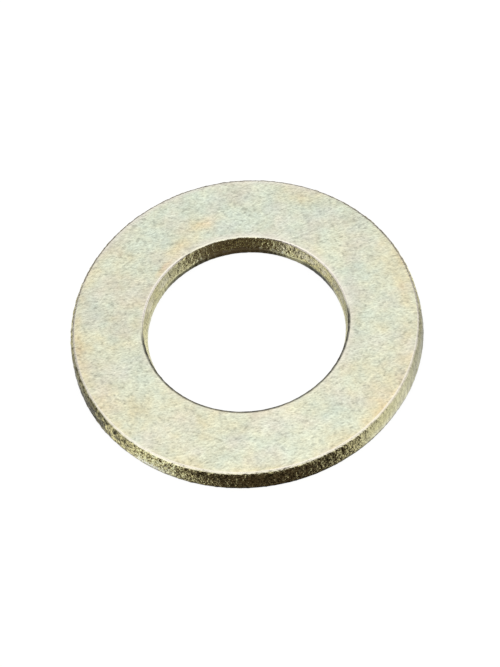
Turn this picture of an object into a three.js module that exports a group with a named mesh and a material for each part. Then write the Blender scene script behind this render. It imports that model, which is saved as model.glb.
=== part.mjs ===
// A plain flat washer for a 27 mm bolt: one ring blanked and pierced from steel plate, then zinc
// plated. It lies on its lower face. The hole's axis is Z, and the origin is the centre of that face.
//
// A press tool shears a ring in bands. On the rim, the upper edge is drawn down into a soft roll,
// a smooth upright band follows, and the last stretch breaks away and tapers in. The hole is pierced
// from the other side, so its roll is at the lower face, and its broken band opens towards the top.

import * as THREE from 'three';

// Driving dimensions, in millimetres.
const OUTER_DIAMETER = 50;
const HOLE_DIAMETER = 28.2;
const THICKNESS = 3.6;

// The rim: its rolled upper edge, and the broken band above the lower face.
const RIM_ROLL_WIDTH = 0.75;
const RIM_ROLL_DEPTH = 2.1;
const RIM_BREAK_DEPTH = 0.8;
const RIM_BREAK_TAPER = 0.1;

// The hole: its rolled lower edge, and the broken band below the upper face.
const HOLE_ROLL_WIDTH = 0.25;
const HOLE_ROLL_DEPTH = 0.5;
const HOLE_BREAK_DEPTH = 2.2;
const HOLE_BREAK_TAPER = 0.42;

// The two sharp edges where the broken bands meet the faces lose this much to tumbling.
const EDGE_BREAK = 0.15;

// How finely the round shapes are cut.
const STEPS_AROUND = 120;
const STEPS_IN_ROLL = 6;

/** Points of the quarter ellipse that rounds a corner, from the upright wall to the flat face. */
function rolledCorner({ wallRadius, wallSide, faceHeight, faceSide, width, depth }) {
  const points = [];
  for (let step = 0; step <= STEPS_IN_ROLL; step += 1) {
    const angle = (step / STEPS_IN_ROLL) * (Math.PI / 2);
    const inFromWall = width * (1 - Math.cos(angle));
    const inFromFace = depth * (1 - Math.sin(angle));
    points.push(new THREE.Vector2(
      wallRadius - wallSide * inFromWall,
      faceHeight - faceSide * inFromFace,
    ));
  }
  return points;
}

/** The rim's outline, from the lower face up and over the rolled edge to the upper face. */
function rimOutline() {
  const radius = OUTER_DIAMETER / 2;
  const brokenRadius = radius - RIM_BREAK_TAPER;
  return [
    new THREE.Vector2(brokenRadius - EDGE_BREAK, 0),
    new THREE.Vector2(brokenRadius, EDGE_BREAK),
    new THREE.Vector2(radius, RIM_BREAK_DEPTH),
    ...rolledCorner({
      wallRadius: radius,
      wallSide: 1,
      faceHeight: THICKNESS,
      faceSide: 1,
      width: RIM_ROLL_WIDTH,
      depth: RIM_ROLL_DEPTH,
    }),
  ];
}

/** The hole's outline, from the upper face down its wall and round the rolled edge. */
function holeOutline() {
  const radius = HOLE_DIAMETER / 2;
  const brokenRadius = radius + HOLE_BREAK_TAPER;
  return [
    new THREE.Vector2(brokenRadius + EDGE_BREAK, THICKNESS),
    new THREE.Vector2(brokenRadius, THICKNESS - EDGE_BREAK),
    new THREE.Vector2(radius, THICKNESS - HOLE_BREAK_DEPTH),
    ...rolledCorner({
      wallRadius: radius,
      wallSide: -1,
      faceHeight: 0,
      faceSide: -1,
      width: HOLE_ROLL_WIDTH,
      depth: HOLE_ROLL_DEPTH,
    }),
  ];
}

/** The ring: the section turned once round the hole's axis. */
function makeWasher() {
  const section = [...rimOutline(), ...holeOutline()];
  section.push(section[0].clone());
  const zincPlatedSteel = new THREE.MeshStandardMaterial({
    color: 0xd3d5bd,
    roughness: 0.45,
    metalness: 0.85,
  });
  const washer = new THREE.Mesh(new THREE.LatheGeometry(section, STEPS_AROUND), zincPlatedSteel);
  washer.name = 'washer';
  washer.rotation.x = Math.PI / 2; // a lathe turns its section round Y; the hole's axis is Z
  return washer;
}

const model = new THREE.Group();
model.add(makeWasher());

export default model;
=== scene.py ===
"""A plain flat washer, zinc plated and pale yellow passivated, lying in a soft white studio."""

import logging
import math
from dataclasses import dataclass, field
from enum import Enum

import bpy
import numpy as np
from mathutils import Matrix, Vector


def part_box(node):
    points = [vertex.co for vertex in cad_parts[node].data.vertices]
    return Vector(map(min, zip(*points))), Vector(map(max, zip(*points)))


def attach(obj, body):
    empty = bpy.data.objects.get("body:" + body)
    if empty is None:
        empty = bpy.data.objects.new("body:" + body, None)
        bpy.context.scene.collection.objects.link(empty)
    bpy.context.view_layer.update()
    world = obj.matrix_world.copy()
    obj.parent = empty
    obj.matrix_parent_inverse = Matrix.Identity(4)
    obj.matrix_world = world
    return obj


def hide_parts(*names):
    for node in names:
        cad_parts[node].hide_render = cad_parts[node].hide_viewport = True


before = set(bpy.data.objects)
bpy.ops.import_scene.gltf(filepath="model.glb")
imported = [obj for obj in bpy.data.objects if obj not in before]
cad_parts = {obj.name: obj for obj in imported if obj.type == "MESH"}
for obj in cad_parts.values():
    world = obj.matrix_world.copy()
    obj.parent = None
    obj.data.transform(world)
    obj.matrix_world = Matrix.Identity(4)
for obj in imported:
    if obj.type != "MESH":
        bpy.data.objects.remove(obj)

LOG = logging.getLogger("washer")
MM = 0.001
WHITE = (1.0, 1.0, 1.0, 1.0)


def linear(hex_colour: str) -> tuple[float, float, float, float]:
    """Turns an sRGB hex colour into linear light.

    Args:
        hex_colour: Six hex digits after a hash, such as "#DEDCC5".

    Returns:
        Red, green, blue and an alpha of 1, all linear.
    """
    channels = [int(hex_colour[i : i + 2], 16) / 255 for i in (1, 3, 5)]
    lit = [c / 12.92 if c <= 0.04045 else ((c + 0.055) / 1.055) ** 2.4 for c in channels]
    return (lit[0], lit[1], lit[2], 1.0)


def smoothstep(low: float, high: float, value: np.ndarray) -> np.ndarray:
    """Rises smoothly from 0 at low to 1 at high.

    Args:
        low: Where the rise starts. It may lie above high, and then the step falls.
        high: Where the rise ends.
        value: Where to read it.

    Returns:
        The step's height at each value.
    """
    share = np.clip((value - low) / (high - low), 0.0, 1.0)
    return share * share * (3.0 - 2.0 * share)


def add_node(tree: bpy.types.NodeTree, kind: str, settings: dict | None = None,
             inputs: dict | None = None, stops: tuple[tuple[float, str], ...] = ()) -> bpy.types.Node:
    """Adds a node with its settings, its input values and its links.

    Args:
        tree: The node tree to add to.
        kind: The node's type name without "ShaderNode".
        settings: Attribute name to value.
        inputs: Input name or number to a value, or to the output socket that feeds it.
        stops: Position and sRGB hex colour of each stop, in order, where the node is a ramp.

    Returns:
        The new node.
    """
    node = tree.nodes.new("ShaderNode" + kind)
    for name, value in (settings or {}).items():
        setattr(node, name, value)
    for key, value in (inputs or {}).items():
        if isinstance(value, bpy.types.NodeSocket):
            tree.links.new(value, node.inputs[key])
        else:
            node.inputs[key].default_value = value
    for index, (position, colour) in enumerate(stops):
        elements = node.color_ramp.elements
        element = elements[index] if index < len(elements) else elements.new(position)
        element.position = position
        element.color = linear(colour)
    return node


class Grain:
    """Smooth random relief in space, the same on every run."""

    def __init__(self, seed: int) -> None:
        """Keeps the seed that tells one relief from another."""
        self.seed = seed

    def _corner(self, cell: np.ndarray) -> np.ndarray:
        """Gives each lattice cell its own number between -1 and 1.

        Args:
            cell: Whole lattice coordinates, one row to a point.

        Returns:
            One number for each row.
        """
        mixed = cell.astype(np.uint32) * np.array([73856093, 19349663, 83492791], np.uint32)
        value = mixed[:, 0] ^ mixed[:, 1] ^ mixed[:, 2] ^ np.uint32(self.seed * 2654435 + 97)
        for shift, factor in ((16, 2246822519), (13, 3266489917)):
            value = (value ^ (value >> np.uint32(shift))) * np.uint32(factor)
        value = value ^ (value >> np.uint32(16))
        return value / 2147483648.0 - 1.0

    def at(self, points_mm: np.ndarray, spacing_mm: float) -> np.ndarray:
        """Reads the relief.

        Args:
            points_mm: Points in millimetres, one row each.
            spacing_mm: The distance between neighbouring grains.

        Returns:
            A number between -1 and 1 for each point.
        """
        scaled = points_mm / spacing_mm + 1000.0
        cell = np.floor(scaled)
        share = scaled - cell
        share = share * share * (3.0 - 2.0 * share)
        total = np.zeros(len(points_mm))
        for corner in range(8):
            step = np.array([corner & 1, corner >> 1 & 1, corner >> 2 & 1])
            weight = np.prod(np.where(step == 1, share, 1.0 - share), axis=1)
            total += weight * self._corner(cell + step)
        return total


class Side(Enum):
    """Which way a wall or its round corner looks: out from the hole's axis, or in towards it."""

    OUT = 1
    IN = -1


@dataclass
class SectionLine:
    """The ring's section as a closed line, in millimetres."""

    radius: list[float] = field(default_factory=list)
    height: list[float] = field(default_factory=list)

    def straight(self, end: tuple[float, float], spacing: float) -> None:
        """Runs a straight stretch from the last point to a new one.

        Args:
            end: Radius and height of the new point.
            spacing: The longest step on the way.
        """
        start = (self.radius[-1], self.height[-1])
        steps = max(1, math.ceil(math.dist(start, end) / spacing))
        for step in range(1, steps + 1):
            share = step / steps
            self.radius.append(start[0] + share * (end[0] - start[0]))
            self.height.append(start[1] + share * (end[1] - start[1]))

    def corner(self, wall: float, face: float, width: float, depth: float,
               side: Side, steps: int, from_wall: bool) -> None:
        """Rounds a corner with a quarter ellipse, which a straight stretch may lead up to.

        Args:
            wall: The wall's radius.
            face: The face's height.
            width: How far the round reaches along the face.
            depth: How far it reaches down the wall from an upper face. It is minus at a lower face.
            side: Which way the wall looks.
            steps: How many steps the round takes.
            from_wall: Whether the line comes from the wall or from the face.
        """
        for step in range(steps + 1):
            angle = step / steps * math.pi / 2
            if not from_wall:
                angle = math.pi / 2 - angle
            self.radius.append(wall - side.value * width * (1 - math.cos(angle)))
            self.height.append(face - depth * (1 - math.sin(angle)))

    def arrays(self) -> tuple[np.ndarray, np.ndarray]:
        """Gives the points without those that repeat the one before.

        Returns:
            The radius and the height of each point.
        """
        points = np.array([self.radius, self.height]).T
        gap = np.linalg.norm(points - np.roll(points, 1, axis=0), axis=1)
        kept = points[gap > 1e-6]
        return kept[:, 0], kept[:, 1]


@dataclass(frozen=True)
class Skin:
    """The smooth ring's surface, a value for each point, in millimetres and degrees.

    The tilt is how far the surface leans from a flat face, 0 to 1 for a wall. The wander is a slow
    random shift, -1 to 1, that keeps the edges of the marks from running straight. A point is
    outside if it is nearer the rim than the hole, and upper if it is in the upper half.
    """

    points: np.ndarray
    normal: np.ndarray
    tilt: np.ndarray
    radius: np.ndarray
    height: np.ndarray
    angle: np.ndarray
    wander: np.ndarray
    outside: np.ndarray
    upper: np.ndarray


@dataclass(frozen=True)
class Stretch:
    """A stretch of the ring, in degrees round the hole's axis, and how strong its mark is."""

    middle: float
    reach: float
    blur: float = 16.0
    strength: float = 1.0

    def mark(self, angle: np.ndarray) -> np.ndarray:
        """Marks the stretch, which fades over its blur at each end.

        Args:
            angle: The angle round the hole's axis, in degrees.

        Returns:
            The strength inside the stretch, 0 outside.
        """
        away = np.abs((angle - self.middle + 180.0) % 360.0 - 180.0)
        return self.strength * smoothstep(self.reach + self.blur / 2, self.reach - self.blur / 2, away)


@dataclass(frozen=True)
class PaintedWallShade:
    """A stretch of a wall with painted shade, or with a painted highlight where it is minus."""

    side: Side
    where: Stretch
    top: float
    foot: float


@dataclass(frozen=True)
class Bloom:
    """A cloud of thicker passivate on the upper face, or of thinner where its strength is minus."""

    angle: float
    radius: float
    along: float
    across: float
    strength: float


@dataclass
class Washer:
    """The ring, blanked and pierced from plate, as a fine mesh with its torn and rolled edges."""

    # The section, in millimetres. A roll is its width and its depth.
    outer_radius: float
    hole_radius: float
    thickness: float
    rim_roll: tuple[float, float] = (0.75, 2.1)
    rim_break_depth: float = 0.8
    rim_break_taper: float = 0.1
    hole_roll: tuple[float, float] = (0.25, 0.5)
    hole_break_depth: float = 2.2
    hole_break_taper: float = 0.42
    edge_break: float = 0.15
    mouth_break: float = 0.5

    # How finely the ring is cut. The steps across are the longest ones on each part.
    steps_around: int = 900
    wall_step: float = 0.15
    upper_face_step: float = 0.35
    lower_face_step: float = 1.2

    # Where the press tool left its marks, and where shade and highlights are painted. The angles are
    # counterclockwise from +X, from above.
    # The rim is torn but for one burnished stretch, which ends in a torn scar.
    burnished_rim: Stretch = Stretch(330, 27, 14, 0.8)
    torn_scar: Stretch = Stretch(0, 12, 8)
    pale_rim: Stretch = Stretch(342, 22, 16, 0.6)
    pale_feet: tuple[Stretch, ...] = (Stretch(332, 26, 14, 0.8), Stretch(232, 8, 12, 0.9))
    speckled_rim: tuple[Stretch, ...] = (Stretch(206, 18, 16, 1.0), Stretch(6, 14, 12, 0.7))
    rim_burrs: tuple[Stretch, ...] = (Stretch(343, 16, 20, 0.14), Stretch(203, 14, 18, 0.10))
    worn_rim: Stretch = Stretch(12, 10, 20, 0.11)
    # A painted highlight along the rim's far edge.
    bright_far_edge: Stretch = Stretch(105, 45, 30, 0.6)
    # The hole's broken band is coarser in places, and in two stretches its mouth has a painted highlight,
    # with the wall's colour starting further down.
    coarse_hole: tuple[Stretch, ...] = (Stretch(36, 24, 20, 0.50), Stretch(84, 13, 14, 0.40))
    highlit_mouths: tuple[Stretch, ...] = (Stretch(146, 26), Stretch(36, 32))
    # A painted highlight on the hole's mouth and the face beside it, stronger in two stretches.
    bright_mouth: tuple[Stretch, ...] = (Stretch(0, 48, 30, 0.17), Stretch(88, 26, 30, 0.30))
    # The roll at the hole's foot has painted shade for a third of its length, taller and darker in places.
    shaded_lip: Stretch = Stretch(80, 63, 20)
    tall_lip: Stretch = Stretch(36, 14)
    dark_lips: tuple[Stretch, ...] = (
        Stretch(36, 14, 16, 0.42), Stretch(66, 8, 14, 0.30), Stretch(122, 15, 16, 0.30))
    # Painted shade along the near half of the hole's upper edge.
    shaded_near_edge: Stretch = Stretch(270, 91, 12)

    # Where the coating lies thicker or thinner, where the face is darker or lighter, and where the walls
    # have painted shade and highlight.
    thick_edge: Stretch = Stretch(325, 45, 30, 0.3)
    # The upper face is a little darker round 166 degrees and lighter round 281.
    face_darkening: tuple[Stretch, ...] = (Stretch(166, 30, 36, 0.05), Stretch(281, 14, 36, -0.055))
    blooms: tuple[Bloom, ...] = (
        Bloom(angle=103, radius=18.2, along=2.2, across=1.0, strength=0.32),
        Bloom(angle=119, radius=16.3, along=2.4, across=1.0, strength=0.26),
        Bloom(angle=133, radius=15.2, along=2.2, across=0.5, strength=0.40),
        Bloom(angle=61, radius=22.6, along=2.6, across=1.0, strength=0.13),
        Bloom(angle=4, radius=22.8, along=3.8, across=1.0, strength=0.14),
        Bloom(angle=38, radius=23.4, along=5.0, across=1.4, strength=-0.14),
        Bloom(angle=176, radius=23.8, along=7.0, across=0.8, strength=0.16),
        Bloom(angle=342, radius=23.0, along=3.8, across=1.0, strength=0.06),
        Bloom(angle=275, radius=17.5, along=8.0, across=2.2, strength=-0.11),
        Bloom(angle=222, radius=21.0, along=4.0, across=1.6, strength=0.06),
    )
    # Painted shade on the walls, stretch by stretch, and painted highlight where the depth is minus.
    painted_wall_shades: tuple[PaintedWallShade, ...] = (
        PaintedWallShade(Side.OUT, Stretch(197, 15, 18), top=0.68, foot=0.86),
        PaintedWallShade(Side.OUT, Stretch(220, 5, 12), top=0.24, foot=-0.15),
        PaintedWallShade(Side.OUT, Stretch(231, 6, 10), top=-0.75, foot=-1.0),
        PaintedWallShade(Side.OUT, Stretch(241, 4, 8), top=-0.60, foot=-0.60),
        PaintedWallShade(Side.OUT, Stretch(250, 5, 10), top=0.10, foot=-0.55),
        PaintedWallShade(Side.OUT, Stretch(292, 6, 14), top=0.25, foot=0.12),
        PaintedWallShade(Side.OUT, Stretch(300, 4, 8), top=-0.08, foot=-0.20),
        PaintedWallShade(Side.OUT, Stretch(322, 9), top=0.16, foot=0.14),
        PaintedWallShade(Side.OUT, Stretch(344, 14), top=0.44, foot=0.42),
        PaintedWallShade(Side.OUT, Stretch(356, 12), top=0.20, foot=0.50),
        PaintedWallShade(Side.IN, Stretch(4, 12, 12), top=0.40, foot=0.05),
        PaintedWallShade(Side.IN, Stretch(21, 5, 12), top=0.38, foot=0.10),
        PaintedWallShade(Side.IN, Stretch(56, 10), top=-0.15, foot=-0.32),
        PaintedWallShade(Side.IN, Stretch(90, 28, 24), top=-0.55, foot=-1.0),
        PaintedWallShade(Side.IN, Stretch(132, 4, 12), top=0.28, foot=0.10),
        PaintedWallShade(Side.IN, Stretch(153, 19), top=0.30, foot=0.18),
        PaintedWallShade(Side.IN, Stretch(182, 10), top=-0.10, foot=-0.05),
    )

    def section(self) -> tuple[np.ndarray, np.ndarray]:
        """Draws the section once round, counterclockwise from the hole's lower edge.

        Returns:
            The radius and the height of each point, in millimetres.
        """
        rim_foot = self.outer_radius - self.rim_break_taper
        hole_mouth = self.hole_radius + self.hole_break_taper
        line = SectionLine()
        line.corner(self.hole_radius, 0.0, self.hole_roll[0], -self.hole_roll[1], Side.IN, 6, True)
        line.straight((rim_foot - self.edge_break, 0.0), self.lower_face_step)
        line.corner(rim_foot, 0.0, self.edge_break, -self.edge_break, Side.OUT, 3, False)
        line.straight((self.outer_radius, self.rim_break_depth), self.wall_step)
        line.straight((self.outer_radius, self.thickness - self.rim_roll[1]), self.wall_step)
        line.corner(self.outer_radius, self.thickness, *self.rim_roll, Side.OUT, 20, True)
        line.straight((hole_mouth + self.mouth_break, self.thickness), self.upper_face_step)
        line.corner(hole_mouth, self.thickness, self.mouth_break, self.mouth_break, Side.IN, 9, False)
        line.straight((self.hole_radius, self.thickness - self.hole_break_depth), self.wall_step)
        line.straight((self.hole_radius, self.hole_roll[1]), self.wall_step)
        return line.arrays()

    def skin(self) -> Skin:
        """Turns the section once round the axis.

        Returns:
            The smooth surface, one section after another.
        """
        section = np.array(self.section())
        tangent = np.roll(section, -1, 1) - np.roll(section, 1, 1)
        tangent /= np.linalg.norm(tangent, axis=0)
        radius, height = np.tile(section, self.steps_around)
        out_radial, out_up = np.tile([tangent[1], -tangent[0]], self.steps_around)
        turn = np.repeat(np.arange(self.steps_around) / self.steps_around * 2 * math.pi, section.shape[1])
        points = np.stack([radius * np.cos(turn), radius * np.sin(turn), height], 1)
        normal = np.stack([out_radial * np.cos(turn), out_radial * np.sin(turn), out_up], 1)
        return Skin(
            points=points,
            normal=normal,
            tilt=np.degrees(np.arctan2(np.abs(out_radial), np.abs(out_up))) / 90.0,
            radius=radius,
            height=height,
            angle=np.degrees(turn),
            wander=Grain(9).at(points, 1.1),
            outside=radius > (self.outer_radius + self.hole_radius) / 2,
            upper=height > self.thickness / 2,
        )

    def marks(self, skin: Skin) -> dict[str, np.ndarray]:
        """Marks the kinds of surface that the press tool leaves, and where highlights are painted.

        Args:
            skin: The smooth surface.

        Returns:
            The wall, the torn metal on it, the pale smooth metal on it and the painted highlight along the
            bends beside it, each 0 to 1.
        """
        angle = skin.angle
        outside = skin.outside
        # The wall begins where the surface leans by 38 to 63 degrees, and later where the mouth has a
        # painted highlight.
        highlit_mouth = sum(part.mark(angle) for part in self.highlit_mouths) * skin.upper * ~outside
        wall = smoothstep(0.42, 0.70, skin.tilt + 0.05 * skin.wander - 0.20 * highlit_mouth)

        # The rim's torn metal stops at its burnished stretch, and the hole's above its lower band.
        burnished = self.burnished_rim.mark(angle + 3.0 * skin.wander)
        burnished = burnished * (1.0 - self.torn_scar.mark(angle))
        low_rim = smoothstep(1.9, 0.9, skin.height + 0.25 * skin.wander)
        pale = low_rim * sum(part.mark(angle) for part in self.pale_feet)
        pale = np.maximum(pale, self.pale_rim.mark(angle)) * wall * outside
        foot = self.thickness - self.hole_break_depth
        torn_hole = smoothstep(foot - 0.15, foot + 0.15, skin.height + 0.22 * skin.wander)
        torn_hole = torn_hole * (0.42 + sum(part.mark(angle) for part in self.coarse_hole))
        torn = wall * np.where(outside, 1.0 - burnished, torn_hole) * (1.0 - 0.7 * pale)

        # The bends are painted bright as highlights: the rim's roll, the hole's mouth and the rim's far
        # edge.
        painted_highlight = 0.60 * smoothstep(0.03, 0.16, skin.tilt) * outside
        from_mouth = skin.radius - self.hole_radius - self.hole_break_taper
        mouth_brightness = 0.18 + sum(part.mark(angle) for part in self.bright_mouth)
        painted_highlight = np.maximum(painted_highlight, mouth_brightness * smoothstep(1.2, 0.4, from_mouth) * ~outside)
        painted_highlight = np.maximum(painted_highlight, highlit_mouth * smoothstep(0.20, 0.40, skin.tilt))
        from_rim = self.outer_radius - skin.radius
        painted_highlight = np.maximum(painted_highlight, smoothstep(1.25, 0.85, from_rim) * self.bright_far_edge.mark(angle))
        painted_highlight = painted_highlight * (1.0 - wall) * skin.upper
        return {"wall": wall, "torn": torn, "pale": pale, "painted_highlight": painted_highlight}

    def shade(self, skin: Skin, marks: dict[str, np.ndarray]) -> np.ndarray:
        """Works out the painted shade and highlight, the face's darker and lighter stretches and the specks
        on the rim's torn metal.

        Args:
            skin: The smooth surface.
            marks: What the press tool left at each point.

        Returns:
            The factor on the colour. It is over 1 where it paints a highlight, lightens the face or
            lightens a speck.
        """
        angle = skin.angle
        wall = marks["wall"]
        shade = np.ones(len(skin.points))
        low = smoothstep(2.6, 1.0, skin.height)
        # Painted shade on the walls, and painted highlight where a stretch's depth is minus.
        for shading in self.painted_wall_shades:
            there = wall * (skin.outside == (shading.side is Side.OUT))
            depth = shading.top + (shading.foot - shading.top) * low
            shade = shade * (1.0 - there * depth * shading.where.mark(angle))
        # The upper face is made a little darker in one stretch and lighter in another.
        darkening = sum(part.mark(angle) for part in self.face_darkening)
        shade = shade * (1.0 - darkening * (1.0 - wall))

        # The rim has painted shade along its foot and specks on its torn metal.
        painted_foot_shade = 0.75 * smoothstep(0.50, 0.22, skin.height)
        speck = (0.10 + sum(part.mark(angle) for part in self.speckled_rim)) * marks["torn"]
        rim = (1.0 - painted_foot_shade * wall) * (1.0 + speck * Grain(13).at(skin.points, 0.40))

        # The hole has painted shade on its lower roll and along the near half of its upper edge, broken up
        # at random.
        lip = smoothstep(1.20, 0.88, skin.height + 0.10 * skin.wander - 0.25 * self.tall_lip.mark(angle))
        dark = sum(part.mark(angle) for part in self.dark_lips)
        lip = lip * self.shaded_lip.mark(angle) * np.clip(0.50 + dark, 0.0, 0.92)
        patchiness = 0.5 + 0.35 * Grain(11).at(skin.points, 0.5) + 0.35 * Grain(12).at(skin.points, 1.6)
        near_edge_shade = smoothstep(0.14, 0.26, skin.tilt) * smoothstep(0.84, 0.66, skin.tilt)
        near_edge_shade = near_edge_shade * skin.upper * self.shaded_near_edge.mark(angle) * (0.55 + 0.40 * patchiness)
        return shade * np.where(skin.outside, rim, 1.0 - np.maximum(lip, near_edge_shade))

    def relief(self, skin: Skin, marks: dict[str, np.ndarray]) -> np.ndarray:
        """Works out how far each point stands out of the smooth ring.

        Args:
            skin: The smooth surface.
            marks: What the press tool left at each point.

        Returns:
            The height of the relief in millimetres.
        """
        torn = marks["torn"]
        smooth = marks["wall"] - torn
        drawn = skin.points * np.array([1.0, 1.0, 0.12])
        flat = 0.0035 * Grain(1).at(skin.points, 0.7) + 0.008 * Grain(2).at(skin.points, 6.0)
        pits = 0.038 * Grain(3).at(skin.points, 0.42) + 0.042 * Grain(4).at(skin.points, 0.26)
        lines = 0.026 * Grain(5).at(drawn, 0.36)
        ragged = smoothstep(0.12, 0.5, skin.tilt) * skin.upper * (0.25 + 0.75 * torn)
        ragged = ragged * 0.050 * Grain(10).at(skin.points, 0.6)
        relief = (1.0 - marks["wall"]) * flat + torn * (pits - 0.02) + smooth * lines + ragged

        # The hole's upper edge is pushed up a little, and the rim's foot has two burrs.
        near_top = skin.height > self.thickness - self.mouth_break
        relief = relief + 0.12 * ~skin.outside * near_top * np.sin(math.pi * skin.tilt) ** 2
        burr = sum(part.mark(skin.angle) for part in self.rim_burrs) * smoothstep(1.5, 0.5, skin.height)
        return relief + (burr - self.worn_rim.mark(skin.angle)) * skin.outside * skin.tilt

    def film(self, skin: Skin) -> np.ndarray:
        """Works out how thick the passivate lies, which sets its colour.

        Args:
            skin: The smooth surface.

        Returns:
            The thickness on a scale of 0 to 1.
        """
        edge_out = np.exp(-np.abs(self.outer_radius - self.rim_roll[0] - skin.radius) / 1.4)
        edge_in = np.exp(-np.abs(skin.radius - self.hole_radius - self.hole_break_taper) / 0.6)
        patchy = 0.45 + 0.55 * Grain(6).at(skin.points, 6.0) + self.thick_edge.mark(skin.angle)
        film = 0.34 + 0.04 * np.cos(np.radians(skin.angle - 240.0))
        film += 0.15 * Grain(7).at(skin.points, 5.5) + 0.06 * Grain(8).at(skin.points, 1.9)
        film += 0.22 * edge_out * np.clip(patchy, 0.0, 1.4) + 0.12 * edge_in
        for bloom in self.blooms:
            turn = np.radians((skin.angle - bloom.angle + 180.0) % 360.0 - 180.0) * bloom.radius
            reach = (turn / bloom.along) ** 2 + ((skin.radius - bloom.radius) / bloom.across) ** 2
            film += bloom.strength * np.exp(-reach)
        return np.clip(film, 0.0, 1.0)

    def mesh(self, points: np.ndarray) -> bpy.types.Mesh:
        """Joins the points into one closed skin.

        Args:
            points: The points in millimetres, one section after another.

        Returns:
            The mesh, in metres.
        """
        count = len(points) // self.steps_around
        row = np.arange(count)
        column = np.arange(self.steps_around)[:, None]
        here = column * count
        there = (column + 1) % self.steps_around * count
        after = (row + 1) % count
        quads = np.stack([here + row, there + row, there + after, here + after], -1).reshape(-1, 4)
        mesh = bpy.data.meshes.new("washer_ring")
        mesh.from_pydata((points * MM).tolist(), [], quads.tolist())
        mesh.polygons.foreach_set("use_smooth", [True] * len(mesh.polygons))
        return mesh

    def build(self, finish: "ChromatedZinc") -> bpy.types.Object:
        """Makes the ring, roughens it and dresses it.

        Args:
            finish: What the whole ring is coated with.

        Returns:
            The new object, in metres.
        """
        skin = self.skin()
        marks = self.marks(skin)
        marks["shade"] = self.shade(skin, marks)
        marks["film"] = self.film(skin)
        points = skin.points + skin.normal * self.relief(skin, marks)[:, None]
        points[:, 2] = np.clip(points[:, 2], 0.0, self.thickness)
        mesh = self.mesh(points)
        for name, values in marks.items():
            attribute = mesh.attributes.new(name, "FLOAT", "POINT")
            attribute.data.foreach_set("value", values)
        mesh.update()
        mesh.materials.append(finish.material())
        ring = bpy.data.objects.new("washer_ring", mesh)
        bpy.context.scene.collection.objects.link(ring)
        return ring


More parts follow.
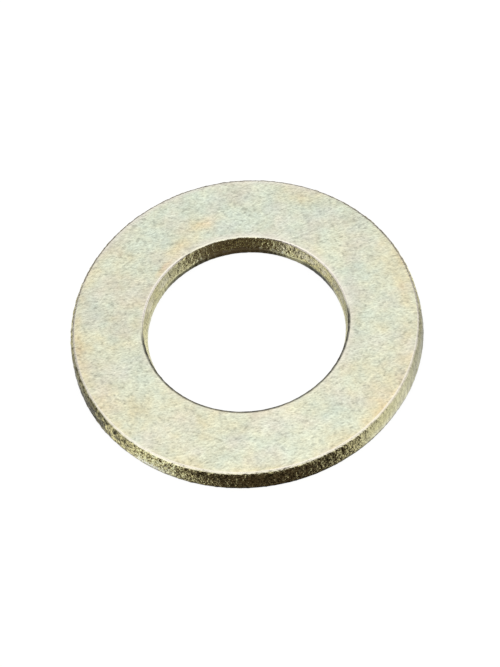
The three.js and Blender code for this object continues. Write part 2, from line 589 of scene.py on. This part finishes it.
@dataclass(frozen=True)
class ChromatedZinc:
    """Electroplated zinc under a pale yellow chromate, on blanked steel.

    The eye sees a bright satin metal, ivory with cream, pink and blue-green clouds where the
    chromate is thicker or thinner, and olive on the torn edges that hold more of it.
    """

    # The chromate is a thin film, so its colour turns round as it gets thicker.
    film_colours: tuple[tuple[float, str], ...] = (
        (0.00, "#D2DFD6"),
        (0.25, "#DBE2CF"),
        (0.42, "#E1E1C7"),
        (0.57, "#E4DCBA"),
        (0.70, "#E7D4A9"),
        (0.80, "#E6CBBC"),
        (0.89, "#DBCDD6"),
        (1.00, "#CBD9DE"),
    )
    # Torn steel holds olive chromate in its pits. Smooth walls are paler, and the bends take a near-white
    # painted highlight.
    torn_colours: tuple[tuple[float, str], ...] = ((0.38, "#6A6344"), (0.56, "#E3DBA4"))
    smooth_metal: str = "#D4D0A4"
    pale_metal: str = "#DEDCC0"
    painted_highlight_colour: str = "#F1EADF"
    pink_tint: str = "#E1D6CB"
    # A metal reflects white light at a glancing angle. The chromate keeps a part of its colour.
    glancing_stain: float = 0.32

    # The faces are satin, and the walls, which the tool has rubbed, are a little glossier.
    face_roughness: float = 0.34
    wall_roughness: float = 0.24
    # The faces' grain is much flatter than that of torn steel. Both are really under 0.05 mm deep,
    # and they are drawn deeper than that, so that they show.
    relief_mm: float = 0.17
    face_relief_share: float = 0.26
    wrinkle_share: float = 0.9

    # The chromate's clouds, blotches and tinted areas are millimetres across.
    cloud_mm: float = 1.6
    blotch_mm: float = 2.8
    tint_mm: float = 4.6
    # Knocks in the plating barrel leave dents and flecks half a millimetre apart, and sheared
    # steel tears in grains of about 0.3 mm.
    wrinkle_mm: float = 0.52
    fleck_mm: float = 0.55
    pit_mm: float = 0.32
    # The plate's own grain and the lines that the punch draws are about 0.1 mm apart. That is too
    # fine to show, so they are drawn nearly three times as coarse.
    grain_mm: float = 0.27
    streak_mm: float = 0.30
    # The grain is a little longer along the way that the plate was rolled, which is turned from
    # the X axis. The drawn lines run up the wall, eight times as long as they are wide.
    rolling_turn: float = -14.0
    rolling_squeeze: float = 0.85
    drawing_squeeze: float = 0.12

    def material(self) -> bpy.types.Material:
        """Builds the node material.

        Returns:
            The material, named for its metal and its coating.
        """
        material = bpy.data.materials.new("yellow_chromated_zinc_on_blanked_steel")
        material.use_nodes = True
        tree = material.node_tree
        shader = tree.nodes["Principled BSDF"]
        shader.inputs["Metallic"].default_value = 1.0
        marks = {name: add_node(tree, "Attribute", {"attribute_name": name}).outputs["Fac"]
                 for name in ("wall", "torn", "pale", "painted_highlight", "shade", "film")}
        patterns = self.patterns(tree)
        levels = self.levels(tree, patterns)
        face = self.face_colour(tree, marks, levels)
        wall = self.wall_colour(tree, marks, patterns, levels)

        colour = add_node(tree, "Mix", {"data_type": "RGBA"}, {0: marks["wall"], 6: face, 7: wall})
        # Painted highlights on the bends, then the shade mark's painted shade and highlight over the whole
        # colour.
        colour = add_node(tree, "Mix", {"data_type": "RGBA"},
                          {0: marks["painted_highlight"], 6: colour.outputs[2], 7: linear(self.painted_highlight_colour)})
        colour = add_node(tree, "VectorMath", {"operation": "SCALE"},
                          {0: colour.outputs[2], "Scale": marks["shade"]}).outputs["Vector"]
        tree.links.new(colour, shader.inputs["Base Color"])
        # The walls' glancing reflection takes a share of this colour, painted shade and highlight included.
        shading = add_node(tree, "MapRange", {}, {"Value": marks["wall"], "To Max": self.glancing_stain})
        edge_tint = add_node(tree, "Mix", {"data_type": "RGBA"},
                             {0: shading.outputs["Result"], 6: WHITE, 7: colour})
        tree.links.new(edge_tint.outputs[2], shader.inputs["Specular Tint"])

        roughness = add_node(tree, "MapRange", {}, {
            "Value": marks["wall"], "To Min": self.face_roughness, "To Max": self.wall_roughness})
        roughness = add_node(tree, "Math", {"operation": "ADD"},
                             {0: roughness.outputs["Result"], 1: levels["roughening"]})
        tree.links.new(roughness.outputs["Value"], shader.inputs["Roughness"])

        share = add_node(tree, "MapRange", {}, {
            "Value": marks["torn"], "To Min": self.face_relief_share, "To Max": 1.0})
        height = add_node(tree, "Math", {"operation": "MULTIPLY_ADD"},
                          {0: patterns["wrinkle"], 1: self.wrinkle_share, 2: patterns["grain"]})
        height = add_node(tree, "Math", {"operation": "MULTIPLY"},
                          {0: height.outputs["Value"], 1: share.outputs["Result"]})
        bump = add_node(tree, "Bump", {}, {"Strength": 1.0, "Distance": self.relief_mm * MM,
                                           "Height": height.outputs["Value"]})
        tree.links.new(bump.outputs["Normal"], shader.inputs["Normal"])
        return material

    def patterns(self, tree: bpy.types.NodeTree) -> dict[str, bpy.types.NodeSocket]:
        """Lays out the solid patterns of the coating and of the steel under it.

        Args:
            tree: The material's nodes.

        Returns:
            Each pattern by its name. It varies around 0.5.
        """
        where = add_node(tree, "TexCoord").outputs["Object"]
        rolled = add_node(tree, "Mapping", {}, {
            "Vector": where,
            "Rotation": (0.0, 0.0, math.radians(self.rolling_turn)),
            "Scale": (self.rolling_squeeze, 1.0, 1.0),
        }).outputs["Vector"]
        drawn = add_node(tree, "Mapping", {}, {
            "Vector": where,
            "Scale": (1.0, 1.0, self.drawing_squeeze),
        }).outputs["Vector"]
        # Where each pattern is read, the size of its grains, and how many finer octaves it has.
        kinds = {
            "cloud": (where, self.cloud_mm, 3.0),
            "blotch": (where, self.blotch_mm, 3.0),
            "tint": (where, self.tint_mm, 2.0),
            "grain": (rolled, self.grain_mm, 2.0),
            "wrinkle": (rolled, self.wrinkle_mm, 1.5),
            "fleck": (rolled, self.fleck_mm, 1.0),
            "pits": (where, self.pit_mm, 2.0),
            "streak": (drawn, self.streak_mm, 1.0),
        }
        patterns = {}
        for name, (vector, size_mm, detail) in kinds.items():
            noise = add_node(tree, "TexNoise", {"noise_dimensions": "3D"},
                             {"Vector": vector, "Scale": 1 / (size_mm * MM), "Detail": detail})
            patterns[name] = noise.outputs["Fac"]
        return patterns

    def levels(self, tree: bpy.types.NodeTree,
               patterns: dict[str, bpy.types.NodeSocket]) -> dict[str, bpy.types.NodeSocket]:
        """Stretches the patterns to the shares and factors that colour and gloss take from them.

        Args:
            tree: The material's nodes.
            patterns: Each pattern by its name.

        Returns:
            The stretched patterns by what they are used for.
        """
        # The pattern, the values of it that are stretched, and what these become.
        ranges = {
            "cloud": ("cloud", 0.3, 0.7, -0.07, 0.07),
            "tint": ("tint", 0.3, 0.7, -0.25, 0.38),
            "grain": ("grain", 0.3, 0.7, 0.87, 1.11),
            "wrinkle": ("wrinkle", 0.3, 0.7, 0.89, 1.07),
            "blotch": ("blotch", 0.3, 0.7, 0.93, 1.08),
            "fleck": ("fleck", 0.56, 0.76, 1.01, 0.76),
            "streak": ("streak", 0.3, 0.7, 0.72, 1.20),
            "roughening": ("grain", 0.3, 0.7, -0.04, 0.06),
        }
        levels = {}
        for name, (source, low, high, low_becomes, high_becomes) in ranges.items():
            level = add_node(tree, "MapRange", {}, {
                "Value": patterns[source], "From Min": low, "From Max": high,
                "To Min": low_becomes, "To Max": high_becomes})
            levels[name] = level.outputs["Result"]
        return levels

    def face_colour(self, tree: bpy.types.NodeTree, marks: dict[str, bpy.types.NodeSocket],
                    levels: dict[str, bpy.types.NodeSocket]) -> bpy.types.NodeSocket:
        """Colours the plate's skin by the film on it, with its clouds, grain and flecks.

        Args:
            tree: The material's nodes.
            marks: The mesh's own values by name.
            levels: The stretched patterns.

        Returns:
            The colour of the faces.
        """
        film = add_node(tree, "Math", {"operation": "ADD"}, {0: marks["film"], 1: levels["cloud"]})
        film = add_node(tree, "ValToRGB", {}, {"Fac": film.outputs["Value"]}, self.film_colours)
        film = add_node(tree, "Mix", {"data_type": "RGBA"}, {
            0: levels["tint"], 6: film.outputs["Color"], 7: linear(self.pink_tint)})
        shade = levels["grain"]
        for name in ("wrinkle", "blotch", "fleck"):
            shade = add_node(tree, "Math", {"operation": "MULTIPLY"}, {0: shade, 1: levels[name]})
            shade = shade.outputs["Value"]
        face = add_node(tree, "VectorMath", {"operation": "SCALE"}, {0: film.outputs[2], "Scale": shade})
        return face.outputs["Vector"]

    def wall_colour(self, tree: bpy.types.NodeTree, marks: dict[str, bpy.types.NodeSocket],
                    patterns: dict[str, bpy.types.NodeSocket],
                    levels: dict[str, bpy.types.NodeSocket]) -> bpy.types.NodeSocket:
        """Colours the walls: streaked where they are smooth, dark in the pits of torn steel.

        Args:
            tree: The material's nodes.
            marks: The mesh's own values by name.
            patterns: Each pattern by its name.
            levels: The stretched patterns.

        Returns:
            The colour of the walls.
        """
        torn = add_node(tree, "ValToRGB", {}, {"Fac": patterns["pits"]}, self.torn_colours)
        smooth = add_node(tree, "Mix", {"data_type": "RGBA"}, {
            0: marks["pale"], 6: linear(self.smooth_metal), 7: linear(self.pale_metal)})
        smooth = add_node(tree, "VectorMath", {"operation": "SCALE"},
                          {0: smooth.outputs[2], "Scale": levels["streak"]})
        wall = add_node(tree, "Mix", {"data_type": "RGBA"}, {
            0: marks["torn"], 6: smooth.outputs["Vector"], 7: torn.outputs["Color"]})
        return wall.outputs[2]


@dataclass
class Studio:
    """A white bowl of a floor, a soft surround and the camera."""

    # The camera looks down at the washer and is rolled over by a few degrees.
    elevation: float = 57.58
    roll: float = 7.35
    distance_mm: float = 497.5
    aim_right_mm: float = 0.41
    aim_up_mm: float = 0.40
    lens_mm: float = 188.90555
    sensor_mm: float = 36.0

    # The floor, in metres, sweeps up into its wall.
    floor_radius: float = 2.0
    sweep_radius: float = 0.6
    wall_height: float = 2.5
    steps_around: int = 96
    steps_up: int = 12
    # Matt paper, lit so evenly that it glows white by itself and shows no shadow.
    paper_grey: float = 0.12
    paper_glow: float = 0.93

    # The light. The key leans towards the camera, with a fainter tent round it, and a card
    # stands low at each side.
    key_lean: float = 30.0
    key: float = 1.26
    tent: float = 0.15
    left_card: float = 0.98
    right_card: float = 1.15
    dark: tuple[float, float, float, float] = (0.064, 0.046, 0.036, 1.0)

    def add_camera(self) -> None:
        """Places the camera and makes it the scene's."""
        lean = math.radians(self.elevation)
        roll = math.radians(self.roll)
        forward = Vector((0.0, math.cos(lean), -math.sin(lean)))
        level = Vector((1.0, 0.0, 0.0))
        upright = Vector((0.0, math.sin(lean), math.cos(lean)))
        right = level * math.cos(roll) - upright * math.sin(roll)
        up = upright * math.cos(roll) + level * math.sin(roll)
        aim = (right * self.aim_right_mm + up * self.aim_up_mm) * MM
        data = bpy.data.cameras.new("camera")
        data.sensor_width = self.sensor_mm
        data.lens = self.lens_mm
        data.clip_start = 0.01
        camera = bpy.data.objects.new("camera", data)
        place = aim - forward * self.distance_mm * MM
        turn = Matrix((right, up, -forward)).transposed().to_4x4()
        camera.matrix_world = Matrix.Translation(place) @ turn
        bpy.context.scene.collection.objects.link(camera)
        bpy.context.scene.camera = camera

    def add_floor(self, level: float) -> bpy.types.Object:
        """Makes the floor, which sweeps up into a wall all round.

        Args:
            level: The height that the washer rests on, in metres.

        Returns:
            The floor.
        """
        flat_radius = self.floor_radius - self.sweep_radius
        profile = [(0.02, 0.0), (0.3, 0.0), (flat_radius, 0.0)]
        for step in range(1, self.steps_up + 1):
            angle = step / self.steps_up * math.pi / 2
            profile.append((flat_radius + self.sweep_radius * math.sin(angle),
                            self.sweep_radius * (1 - math.cos(angle))))
        profile.append((self.floor_radius, self.wall_height))
        vertices = [(0.0, 0.0, level)]
        for radius, height in profile:
            for step in range(self.steps_around):
                angle = step / self.steps_around * 2 * math.pi
                vertices.append((radius * math.cos(angle), radius * math.sin(angle), level + height))
        faces = []
        for step in range(self.steps_around):
            following = (step + 1) % self.steps_around
            faces.append((0, 1 + step, 1 + following))
            for ring in range(len(profile) - 1):
                low = 1 + ring * self.steps_around
                high = low + self.steps_around
                faces.append((low + step, high + step, high + following, low + following))
        mesh = bpy.data.meshes.new("floor")
        mesh.from_pydata(vertices, [], faces)
        mesh.polygons.foreach_set("use_smooth", [True] * len(mesh.polygons))
        material = bpy.data.materials.new("white_paper_sweep")
        material.use_nodes = True
        shader = material.node_tree.nodes["Principled BSDF"]
        shader.inputs["Base Color"].default_value = (self.paper_grey, self.paper_grey, self.paper_grey, 1.0)
        shader.inputs["Roughness"].default_value = 1.0
        shader.inputs["Specular IOR Level"].default_value = 0.0
        shader.inputs["Emission Color"].default_value = WHITE
        shader.inputs["Emission Strength"].default_value = self.paper_glow
        mesh.materials.append(material)
        floor = bpy.data.objects.new("floor", mesh)
        bpy.context.scene.collection.objects.link(floor)
        floor.visible_glossy = False
        floor.visible_diffuse = False
        floor.visible_shadow = False
        return floor

    def add_surround(self) -> None:
        """Lights the studio from a soft overhead tent and from low at both sides and behind."""
        world = bpy.data.worlds.new("studio_surround")
        world.use_nodes = True
        bpy.context.scene.world = world
        tree = world.node_tree
        ray = add_node(tree, "TexCoord").outputs["Generated"]
        axes = add_node(tree, "SeparateXYZ", {}, {0: ray})
        right = axes.outputs["X"]
        rise = axes.outputs["Z"]
        flat = add_node(tree, "CombineXYZ", {}, {0: right, 1: axes.outputs["Y"]})
        length = add_node(tree, "VectorMath", {"operation": "LENGTH"}, {0: flat.outputs["Vector"]})
        away = add_node(tree, "Math", {"operation": "DIVIDE"},
                        {0: axes.outputs["Y"], 1: length.outputs["Value"]}).outputs["Value"]
        lean = math.radians(self.key_lean)
        toward_key = add_node(tree, "VectorMath", {"operation": "DOT_PRODUCT"},
                              {0: ray, 1: (0.0, -math.sin(lean), math.cos(lean))}).outputs["Value"]
        # The tent starts higher on the camera's side.
        cut = add_node(tree, "MapRange", {"interpolation_type": "SMOOTHSTEP"}, {
            "Value": away, "From Min": -0.50, "From Max": -0.86, "To Min": 0.0, "To Max": 0.45})
        over = add_node(tree, "Math", {"operation": "SUBTRACT"},
                        {0: rise, 1: cut.outputs["Result"]}).outputs["Value"]
        # What each level of light follows, from where to where it steps, and its two values.
        steps = {
            "key": (toward_key, -0.30, 0.66, self.tent, self.key),
            "above": (over, 0.14, 0.42, 0.0, 1.0),
            "sides": (away, -0.80, -0.26, 0.0, 1.0),
            "beneath": (rise, 0.34, 0.02, 0.0, 1.0),
            "cards": (right, -0.4, 0.4, self.left_card, self.right_card),
            "nadir": (rise, -0.98, -0.88, 0.0, 1.0),
            "behind": (away, 0.15, 0.85, 0.0, 1.0),
            "skirting": (rise, -0.45, -0.15, 0.0, 1.0),
        }
        levels = {}
        for name, (value, start, end, low, high) in steps.items():
            level = add_node(tree, "MapRange", {"interpolation_type": "SMOOTHSTEP"}, {
                "Value": value, "From Min": start, "From Max": end, "To Min": low, "To Max": high})
            levels[name] = level.outputs["Result"]
        gap = add_node(tree, "Math", {"operation": "MULTIPLY"},
                       {0: levels["behind"], 1: levels["skirting"]})
        levels["open"] = add_node(tree, "Math", {"operation": "SUBTRACT"},
                                  {0: 1.0, 1: gap.outputs["Value"]}).outputs["Value"]
        low_light = levels["sides"]
        for name in ("beneath", "cards", "nadir", "open"):
            low_light = add_node(tree, "Math", {"operation": "MULTIPLY"}, {0: low_light, 1: levels[name]})
            low_light = low_light.outputs["Value"]
        total = add_node(tree, "Math", {"operation": "MULTIPLY_ADD"},
                         {0: levels["key"], 1: levels["above"], 2: low_light})
        light = add_node(tree, "Mix", {"data_type": "RGBA", "clamp_factor": False},
                         {0: total.outputs["Value"], 6: self.dark, 7: WHITE})
        tree.links.new(light.outputs[2], tree.nodes["Background"].inputs["Color"])


def main() -> None:
    """Builds the washer in its studio."""
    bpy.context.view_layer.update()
    low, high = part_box("washer")
    rim = high.x / MM
    hole = min(v.co.xy.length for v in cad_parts["washer"].data.vertices) / MM
    studio = Studio()
    studio.add_camera()
    floor = studio.add_floor(low.z)
    studio.add_surround()
    LOG.info("studio ready")

    washer = Washer(outer_radius=rim, hole_radius=hole, thickness=(high.z - low.z) / MM)
    ring = washer.build(ChromatedZinc())
    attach(ring, "root")
    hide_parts("washer")
    LOG.info("washer_ring: %d faces", len(ring.data.polygons))

    bpy.context.scene.view_settings.view_transform = "Standard"


if __name__ == "__main__":
    logging.basicConfig(level=logging.INFO, format="%(message)s")
    main()
